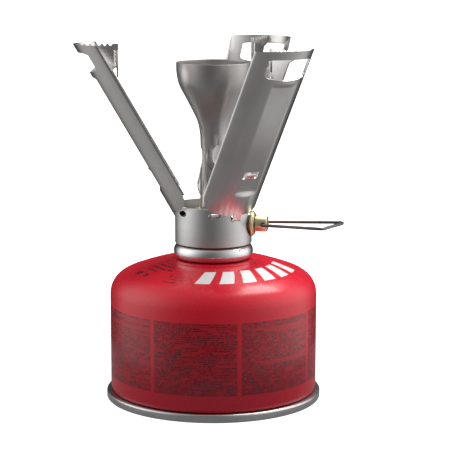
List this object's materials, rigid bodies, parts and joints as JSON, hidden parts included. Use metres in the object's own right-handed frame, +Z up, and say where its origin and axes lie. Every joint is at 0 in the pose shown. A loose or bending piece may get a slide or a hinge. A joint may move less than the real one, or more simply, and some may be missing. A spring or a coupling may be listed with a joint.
{
  "type": "canister stove",
  "caption": "Screw-on gas stove on a threaded canister: folding curved pot supports with serrated blades, flared burner, side valve with wire handle.",
  "frame": {"origin": "centre of the canister's base on the ground", "axes": "+Z up along the common axis of canister, stove and burner; the control handle points towards +X, 11 degrees round towards -Y"},
  "size_m": [0.1123, 0.104, 0.1492],
  "materials": {
    "canister_red": "glossy red enamel with a printed band",
    "canister_steel": "bare tinned steel, satin",
    "cup_tin": "bright tinned steel",
    "valve_plastic": "moulded",
    "seal_rubber": "moulded",
    "stove_alloy": "fine satin, turned",
    "brass_parts": "turned, slightly dull",
    "support_steel": "satin stainless sheet",
    "horn_steel": "drawn stainless, brushed round",
    "wire_steel": "polished dark steel wire"
  },
  "bodies": {
    "canister": {"canister_body": "canister_red", "canister_base": "canister_steel", "valve_cup": "cup_tin", "canister_valve_gasket": "seal_rubber", "canister_valve_housing": "valve_plastic", "canister_valve_spring": "wire_steel"},
    "valve_stem": {"canister_valve_stem": "brass_parts"},
    "seal_ring": {"connector_seal": "seal_rubber"},
    "stove": {"stove_base": "stove_alloy", "valve_body": "brass_parts", "depressor_pin": "brass_parts", "jet_filter": "support_steel", "jet": "brass_parts", "gland": "brass_parts", "spindle_seal": "seal_rubber", "burner_horn": "horn_steel", "burner_head": "horn_steel", "hinge_pin_a": "support_steel", "hinge_pin_b": "support_steel", "hinge_pin_c": "support_steel"},
    "support_a": {"pot_support_a": "support_steel", "support_blade_a": "support_steel"},
    "support_b": {"pot_support_b": "support_steel", "support_blade_b": "support_steel"},
    "support_c": {"pot_support_c": "support_steel", "support_blade_c": "support_steel"},
    "spindle": {"control_spindle": "brass_parts"},
    "handle": {"control_handle": "wire_steel"}
  },
  "joints": [
    {"name": "stove_lift", "type": "slide", "parent": "canister", "child": "seal_ring", "axis": [0, 0, 1], "range_m": [0, 0.00454]},
    {"name": "stove_turn", "type": "hinge", "parent": "seal_ring", "child": "stove", "pos_m": [0, 0, 0.07], "axis": [0, 0, 1], "range_deg": [0, 1800]},
    {"name": "valve_stem_lift", "type": "slide", "parent": "canister", "child": "valve_stem", "axis": [0, 0, 1], "range_m": [0, 0.0013], "deforming": ["canister_valve_spring"]},
    {"name": "support_a_fold", "type": "hinge", "parent": "stove", "child": "support_a", "pos_m": [-0.01335, -0.00112, 0.0796], "axis": [-0.0837, 0.9965, 0], "range_deg": [0, 29.5]},
    {"name": "support_b_fold", "type": "hinge", "parent": "stove", "child": "support_b", "pos_m": [0.00765, -0.011, 0.0796], "axis": [-0.8211, -0.5707, 0], "range_deg": [0, 29.5]},
    {"name": "support_c_fold", "type": "hinge", "parent": "stove", "child": "support_c", "pos_m": [0.00571, 0.01212, 0.0796], "axis": [0.9048, -0.4258, 0], "range_deg": [0, 29.5]},
    {"name": "valve_turn", "type": "hinge", "parent": "stove", "child": "spindle", "pos_m": [0.01963, -0.00382, 0.0744], "axis": [0.9816, -0.1908, 0], "range_deg": [0, 720]},
    {"name": "handle_fold", "type": "hinge", "parent": "spindle", "child": "handle", "pos_m": [0.0211, -0.0041, 0.0744], "axis": [-0.1908, -0.9816, 0], "range_deg": [-45, 70]}
  ],
  "couplings": [
    {"joint": "stove_lift", "follows": "stove_turn", "m_per_rad": 0.000144},
    {"joint": "valve_stem_lift", "follows": "stove_turn", "m_per_rad": 0.0000413}
  ]
}
